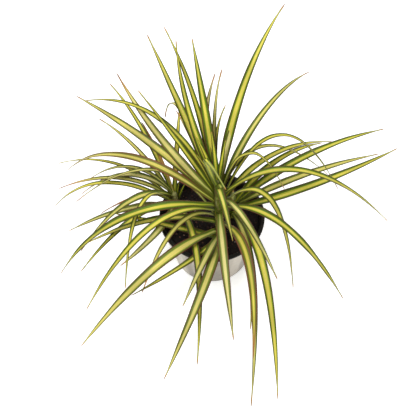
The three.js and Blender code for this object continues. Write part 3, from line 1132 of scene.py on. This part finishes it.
pin_points, pin_faces = pins(liner_bottom - 2 * MM, liner_bottom + 4 * MM)
pin_mesh = bpy.data.meshes.new("Pins")
pin_mesh.from_pydata(pin_points, [], pin_faces)
pin_object = bpy.data.objects.new("Pins", pin_mesh)
scene.collection.objects.link(pin_object)
cut = liner.modifiers.new("Drains", "BOOLEAN")
cut.operation, cut.object, cut.solver = "DIFFERENCE", pin_object, "EXACT"
bpy.context.view_layer.update()
evaluated = liner.evaluated_get(bpy.context.evaluated_depsgraph_get())
drained = bpy.data.meshes.new_from_object(evaluated)
liner.modifiers.remove(cut)
liner.data = drained
bpy.data.objects.remove(pin_object)
print("nursery pot", len(liner.data.polygons), "faces after the drain holes")

# %% [markdown]
# ## Soil
#
# Potting soil is a dark, crumbly bed with bark chips and a few pale grains on it. The bed is one
# closed skin with an uneven top. A few hundred bits lie on it: each is a small jittered solid of
# twenty faces, and all of them together are one mesh, with one shade for each bit.

# %% Soil
random_soil = np.random.default_rng(21)
SOIL_TONES = [
    (0.0, (0.006, 0.004, 0.004)),
    (0.55, (0.020, 0.010, 0.008)),
    (0.8, (0.075, 0.028, 0.022)),
    (0.93, (0.14, 0.06, 0.05)),
    (1.0, (0.40, 0.30, 0.26)),
]
# How far the bed lies under the frame's soil, so that its waves stay inside it.
SINK = 0.6 * MM
WAVES = {"count": 14, "shortest": 3, "longest": 14, "steepness": 0.018}


def soil_finish():
    """Near-black earth; the mesh gives each bit its own shade, and the bed one dark shade.
    Painted shade darkens the low places of the grain.
    """
    material, tree, skin = new_material("Soil")
    where = object_place(tree)
    grain = noise(tree, where, 700.0, 4.0)
    chips = speck_mask(tree, where, 260.0, 0.10)
    bits = ramp(tree, attribute(tree, "shade").outputs["Fac"], SOIL_TONES)
    colour = layer(tree, bits, chips, 0.5, (0.09, 0.035, 0.028))
    # Painted shade: where the grain's relief is low, the colour goes almost black.
    painted_hollow_shade = between(tree, grain, 0.35, 0.65, 0.55, 0.0)
    colour = mixed(tree, painted_hollow_shade, colour, (0.003, 0.002, 0.002))
    paint(tree, skin, colour, between(tree, grain, 0.3, 0.7, 0.75, 0.98))
    skin.inputs["Specular IOR Level"].default_value = 0.2
    bump(tree, skin, grain, 0.8, 0.001)
    return material


SOIL_FINISH = soil_finish()
soil_low, soil_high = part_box("soil")
soil_points = node_points("soil")
soil_reach = np.hypot(soil_points[:, 0], soil_points[:, 1])
soil_radius = soil_reach.max()
soil_edge = soil_points[soil_reach > soil_radius - 0.3 * MM][:, 2].max()
soil_foot = soil_reach[soil_points[:, 2] < soil_low.z + 1 * MM].max()


def crumble(x, y):
    """Uneven ground: a sum of waves that cross in many directions, a few tenths of a mm each."""
    height = np.zeros_like(x)
    for _ in range(WAVES["count"]):
        angle = random_soil.uniform(0, math.pi)
        length = random_soil.uniform(WAVES["shortest"], WAVES["longest"]) * MM
        phase = random_soil.uniform(0, 2 * math.pi)
        wave = (x * math.cos(angle) + y * math.sin(angle)) * 2 * math.pi / length + phase
        height += np.sin(wave) * length * WAVES["steepness"]
    return height


SOIL_SIDES = 160
bed_radii = np.linspace(soil_radius, 1.2 * MM, 56)
turn = np.linspace(0, 2 * math.pi, SOIL_SIDES, endpoint=False)
bed_x, bed_y = bed_radii[:, None] * np.cos(turn), bed_radii[:, None] * np.sin(turn)
dome = soil_edge + (soil_high.z - soil_edge) * (1 - (bed_radii / soil_radius)[:, None] ** 2)
calm = smoothstep(soil_radius - bed_radii, 0, 4 * MM)[:, None]
bed_z = dome - SINK + calm * np.clip(crumble(bed_x, bed_y), -1.6 * MM, SINK)
top_rows = np.stack([bed_x, bed_y, bed_z], -1)
wall_share = np.linspace(1, 0, 14)[1:, None]
wall_radius = soil_foot + (soil_radius - soil_foot) * wall_share
wall_z = soil_low.z + (soil_edge - SINK - soil_low.z) * wall_share + 0 * turn
wall_rows = np.stack([wall_radius * np.cos(turn), wall_radius * np.sin(turn), wall_z], -1)
soil_grid = np.concatenate([top_rows[::-1], wall_rows])
soil_skin = np.vstack(
    [soil_grid.reshape(-1, 3), [0, 0, top_rows[-1, :, 2].mean()], [0, 0, soil_low.z]]
)
soil_faces = closed_tube(len(soil_grid), SOIL_SIDES)
shade = np.full(len(soil_skin), 0.2)
add_piece("soil_bed", soil_skin, soil_faces, SOIL_FINISH, "soil", {"shade": shade})

BITS = 620
# A bit starts as an icosahedron: twelve points on a sphere, joined by twenty triangles.
golden = (1 + math.sqrt(5)) / 2
bit_points = unit(
    np.array(
        [
            (-1, golden, 0), (1, golden, 0), (-1, -golden, 0), (1, -golden, 0),
            (0, -1, golden), (0, 1, golden), (0, -1, -golden), (0, 1, -golden),
            (golden, 0, -1), (golden, 0, 1), (-golden, 0, -1), (-golden, 0, 1),
        ],
        float,
    )
)
BIT_FACES = np.array(
    [
        (0, 11, 5), (0, 5, 1), (0, 1, 7), (0, 7, 10), (0, 10, 11), (1, 5, 9), (5, 11, 4),
        (11, 10, 2), (10, 7, 6), (7, 1, 8), (3, 9, 4), (3, 4, 2), (3, 2, 6), (3, 6, 8),
        (3, 8, 9), (4, 9, 5), (2, 4, 11), (6, 2, 10), (8, 6, 7), (9, 8, 1),
    ]
)
reach = (soil_radius - 3 * MM) * np.sqrt(random_soil.uniform(0, 1, BITS))
around = random_soil.uniform(0, 2 * math.pi, BITS)
size = (0.5 + 1.5 * random_soil.uniform(0, 1, BITS) ** 3) * MM
stretch = random_soil.uniform(0.5, 1.5, (BITS, 1, 3))
jitter = random_soil.uniform(0.75, 1.25, (BITS, 12, 1))
spin = random_soil.uniform(0, 2 * math.pi, BITS)
bits = bit_points[None] * stretch * jitter * size[:, None, None]
cos_spin, sin_spin = np.cos(spin)[:, None], np.sin(spin)[:, None]
x, y, z = np.moveaxis(bits, -1, 0)
bits = np.stack([x * cos_spin - y * sin_spin, x * sin_spin + y * cos_spin, z * 0.7], -1)
bit_height = soil_edge + (soil_high.z - soil_edge) * (1 - (reach / soil_radius) ** 2)
bits += np.stack([reach * np.cos(around), reach * np.sin(around), bit_height - 0.2 * MM], -1)[:, None]
bit_faces = (BIT_FACES[None] + len(bit_points) * np.arange(BITS)[:, None, None]).reshape(-1, 3)
bit_shade = np.repeat(random_soil.uniform(0, 1, BITS) ** 0.8, len(bit_points))
shades = {"shade": bit_shade}
add_piece("soil_bits", bits.reshape(-1, 3), [bit_faces], SOIL_FINISH, None, shades, True)
print("soil", len(soil_skin), "points,", BITS, "bits")
